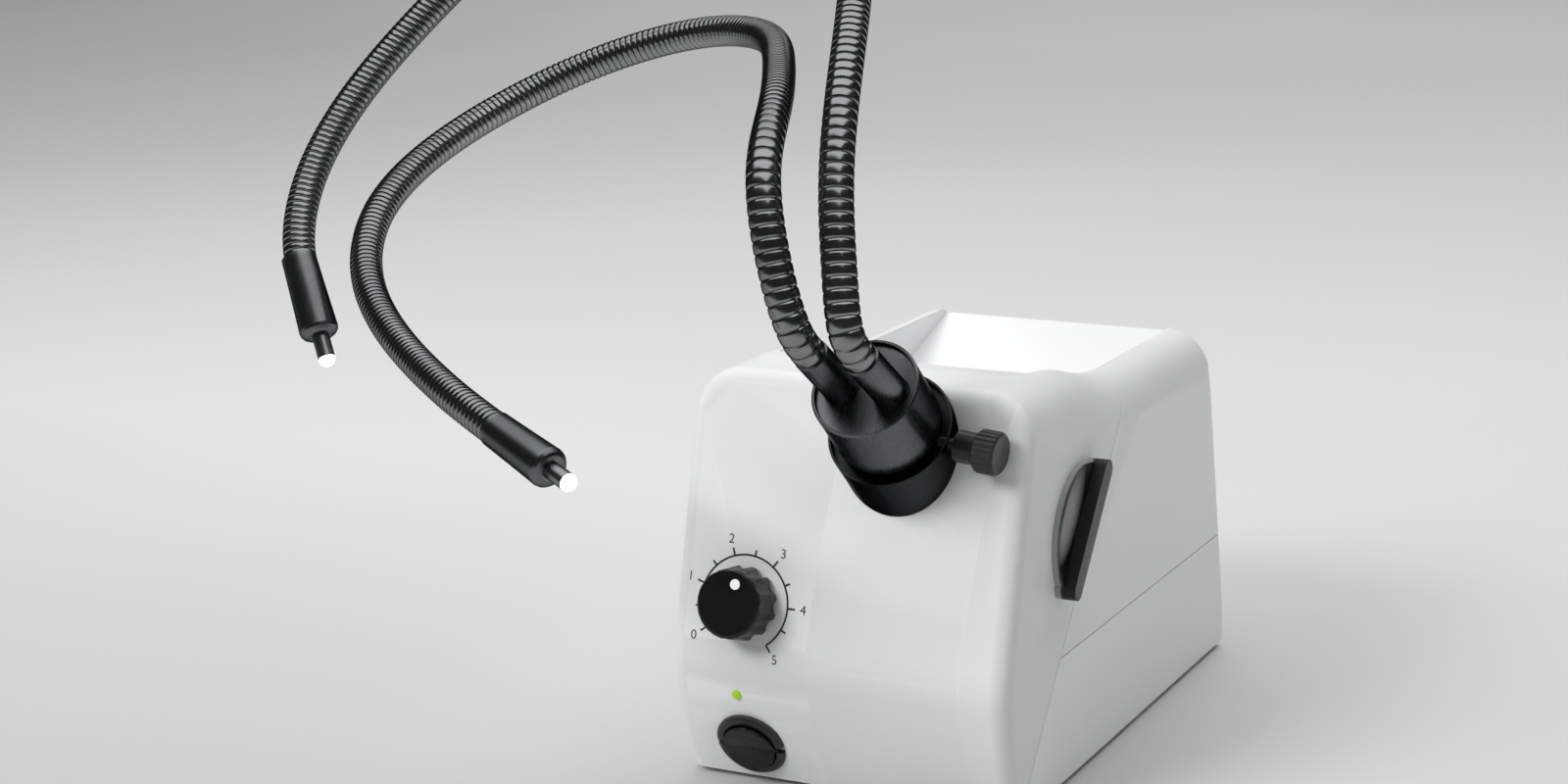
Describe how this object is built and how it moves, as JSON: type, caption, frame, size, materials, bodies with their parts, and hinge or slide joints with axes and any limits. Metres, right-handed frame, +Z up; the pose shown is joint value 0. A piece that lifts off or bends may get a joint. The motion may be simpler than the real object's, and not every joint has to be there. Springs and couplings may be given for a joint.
{
  "type": "fiber optic illuminator",
  "caption": "Bench light source in a white moulded housing with a brightness knob, rocker switch, side filter slide and a clamped double gooseneck fibre light guide.",
  "frame": {"origin": "centre of the housing's footprint, on the bench under the feet", "axes": "+Z up, +X to the right of someone facing the control panel, +Y to the back; the control panel looks along -Y"},
  "size_m": [0.276, 0.3064, 0.3292],
  "materials": {
    "white_shell": "fine satin moulded texture",
    "feet_rubber": "matt",
    "screw_steel": "zinc plated",
    "port_black": "black anodised, satin",
    "collar_grey": "dark grey anodised, satin",
    "ferrule_steel": "turned",
    "clamp_black": "satin, knurled",
    "clamp_pad_brass": "turned",
    "hose_black": "satin ribbed cover over a steel coil",
    "fibre_glass": "packed glass fibres",
    "exit_glass": "polished fibre face, lit",
    "tip_black": "smooth sleeve",
    "tip_metal": "black anodised",
    "knob_black": "satin, scalloped",
    "dot_white": "printed",
    "shaft_steel": "turned",
    "control_body": "moulded",
    "led_green": "translucent, lit",
    "switch_black": "moulded",
    "handle_black": "satin moulded",
    "blade_metal": "black anodised",
    "filter_blue": "tinted",
    "optic_black": "black anodised",
    "lens_glass": "polished",
    "board_white": "metal-core board",
    "emitter_yellow": "phosphor",
    "sink_alu": "extruded",
    "fan_black": "moulded",
    "board_green": "glass-fibre board with parts",
    "stand_brass": "turned",
    "inlet_black": "moulded",
    "pin_brass": "nickel plated"
  },
  "bodies": {
    "housing": {"front_bezel": "white_shell", "base_tray": "white_shell", "top_cover": "white_shell", "rubber_feet": "feet_rubber", "case_screws": "screw_steel", "port_socket": "port_black", "port_nut": "port_black", "optic_tube": "optic_black", "condenser_lens": "lens_glass", "led_board": "board_white", "led_emitter": "emitter_yellow", "heat_sink": "sink_alu", "sink_bracket": "sink_alu", "fan_frame": "fan_black", "power_board": "board_green", "board_stands": "stand_brass", "mains_inlet": "inlet_black", "inlet_pins": "pin_brass", "switch_case": "switch_black", "status_light": "led_green", "brightness_control": "control_body"},
    "control": {"control_knob": "knob_black", "knob_dot": "dot_white", "knob_spindle": "shaft_steel"},
    "rocker": {"switch_rocker": "switch_black"},
    "filter_carrier": {"filter_handle": "handle_black", "filter_blade": "blade_metal", "filter_glass": "filter_blue"},
    "clamp_foot": {"clamp_pad": "clamp_pad_brass"},
    "clamp_thumb": {"clamp_screw": "clamp_black"},
    "fan_wheel": {"fan_rotor": "fan_black"},
    "fuse_tray": {"fuse_drawer": "inlet_black"},
    "guide_plug": {"guide_ferrule": "ferrule_steel", "guide_entry_core": "fibre_glass"},
    "guide_head": {"guide_collar": "collar_grey", "guide_cap": "collar_grey", "neck_sleeve_left": "collar_grey", "neck_sleeve_right": "collar_grey", "hose_left_1": "hose_black", "fibres_left_1": "fibre_glass", "hose_right_1": "hose_black", "fibres_right_1": "fibre_glass"},
    "left_arm_rise": {"hose_left_2": "hose_black", "fibres_left_2": "fibre_glass"},
    "left_arm_arch": {"hose_left_3": "hose_black", "fibres_left_3": "fibre_glass"},
    "left_arm_end": {"hose_left_4": "hose_black", "fibres_left_4": "fibre_glass", "tip_sleeve_left": "tip_black", "tip_ferrule_left": "tip_metal", "light_exit_left": "exit_glass"},
    "right_arm_rise": {"hose_right_2": "hose_black", "fibres_right_2": "fibre_glass"},
    "right_arm_arch": {"hose_right_3": "hose_black", "fibres_right_3": "fibre_glass"},
    "right_arm_end": {"hose_right_4": "hose_black", "fibres_right_4": "fibre_glass", "tip_sleeve_right": "tip_black", "tip_ferrule_right": "tip_metal", "light_exit_right": "exit_glass"}
  },
  "joints": [
    {"name": "brightness_turn", "type": "hinge", "parent": "housing", "child": "control", "pos_m": [-0.0338, -0.10628, 0.0646], "axis": [0, -0.9724, 0.2334], "range_deg": [-126, 144]},
    {"name": "switch_tip", "type": "hinge", "parent": "housing", "child": "rocker", "pos_m": [-0.0337, -0.10246, 0.0149], "axis": [1, 0, 0], "range_deg": [0, 18]},
    {"name": "filter_pull", "type": "slide", "parent": "housing", "child": "filter_carrier", "axis": [1, 0, 0], "range_m": [0, 0.06]},
    {"name": "clamp_travel", "type": "slide", "parent": "housing", "child": "clamp_foot", "axis": [0.9945, -0.0699, -0.0777], "range_m": [0, 0.0014]},
    {"name": "clamp_turn", "type": "hinge", "parent": "clamp_foot", "child": "clamp_thumb", "pos_m": [0.0155, -0.09833, 0.12482], "axis": [0.9945, -0.0699, -0.0777], "range_deg": [0, 720]},
    {"name": "fan_spin", "type": "hinge", "parent": "housing", "child": "fan_wheel", "pos_m": [-0.022, 0.074, 0.0345], "axis": [0, 1, 0], "continuous": true},
    {"name": "fuse_drawer_pull", "type": "slide", "parent": "housing", "child": "fuse_tray", "axis": [0, 1, 0], "range_m": [0, 0.018]},
    {"name": "guide_pull", "type": "slide", "parent": "housing", "child": "guide_plug", "axis": [0, -0.7431, 0.6691], "range_m": [0, 0.03]},
    {"name": "guide_turn", "type": "hinge", "parent": "guide_plug", "child": "guide_head", "pos_m": [0.0155, -0.09298, 0.12], "axis": [0, -0.7431, 0.6691], "range_deg": [-20, 20]},
    {"name": "left_arm_rise_bend", "type": "hinge", "parent": "guide_head", "child": "left_arm_rise", "pos_m": [-0.01641, -0.12265, 0.2156], "axis": [0.9682, 0.2041, 0.1447], "range_deg": [-12, 4]},
    {"name": "left_arm_arch_bend", "type": "hinge", "parent": "left_arm_rise", "child": "left_arm_arch", "pos_m": [-0.11862, 0.00054, 0.23411], "axis": [-0.2485, -0.0414, 0.9678], "range_deg": [0, 18]},
    {"name": "left_arm_end_bend", "type": "hinge", "parent": "left_arm_arch", "child": "left_arm_end", "pos_m": [-0.15997, -0.12592, 0.15768], "axis": [0.2795, -0.2381, 0.9302], "range_deg": [-10, 10]},
    {"name": "right_arm_rise_bend", "type": "hinge", "parent": "guide_head", "child": "right_arm_rise", "pos_m": [0.00557, -0.11713, 0.215], "axis": [0.9801, 0.1163, 0.161], "range_deg": [-10, 8]},
    {"name": "right_arm_arch_bend", "type": "hinge", "parent": "right_arm_rise", "child": "right_arm_arch", "pos_m": [-0.06346, -0.00533, 0.32106], "axis": [0.3355, 0.9374, -0.0928], "range_deg": [0, 18]},
    {"name": "right_arm_end_bend", "type": "hinge", "parent": "right_arm_arch", "child": "right_arm_end", "pos_m": [-0.19119, -0.05667, 0.23727], "axis": [-0.3058, -0.5709, 0.7619], "range_deg": [-14, 0]}
  ],
  "couplings": [
    {"joint": "clamp_turn", "follows": "clamp_travel", "rad_per_m": 8976}
  ]
}
